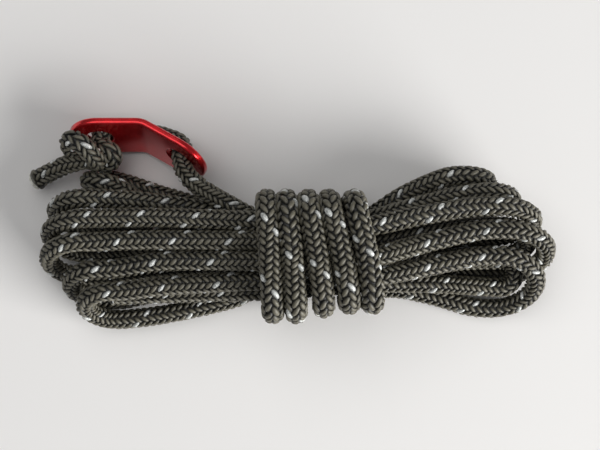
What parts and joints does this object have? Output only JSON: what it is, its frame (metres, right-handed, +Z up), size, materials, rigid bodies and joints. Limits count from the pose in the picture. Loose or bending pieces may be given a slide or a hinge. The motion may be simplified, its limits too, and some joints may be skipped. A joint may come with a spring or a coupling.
{
  "type": "hanked guy line",
  "caption": "Hank of thin braided reflective cord bound round the middle by its own end, with a bent two-hole metal runner, a stopper knot and two heat-sealed ends.",
  "frame": {"origin": "on the table, under the middle one of the five frapping turns", "axes": "+X along the hank towards its open right-hand loops, +Y across it towards the runner, +Z up from the table"},
  "size_m": [0.1051, 0.0454, 0.0254],
  "materials": {
    "cord_cover": "braided, dark olive with a reflective tracer",
    "cord_core": "straight white yarns",
    "melted_end": "melted, slightly shiny",
    "runner_metal": "red anodised, glossy"
  },
  "bodies": {
    "hank": {"hank_loops": "cord_cover", "frapping_turns": "cord_cover", "free_end_cover": "cord_cover", "free_end_core": "cord_core", "free_end_cap": "melted_end"},
    "lead": {"runner_lead": "cord_cover"},
    "runner": {"runner_plate": "runner_metal", "stake_loop": "cord_cover", "stopper_knot": "cord_cover", "tail_cover": "cord_cover", "tail_core": "cord_core", "tail_cap": "melted_end"}
  },
  "joints": [
    {"name": "lead_swing", "type": "hinge", "parent": "hank", "child": "lead", "pos_m": [-0.0147, 0.0094, 0.018], "axis": [0, 0, -1], "range_deg": [0, 75], "deforming": ["runner_lead"]},
    {"name": "runner_turn", "type": "hinge", "parent": "lead", "child": "runner", "pos_m": [-0.0257, 0.02013, 0.00822], "axis": [0.2001, 0.8803, -0.4301], "range_deg": [0, 60]}
  ]
}
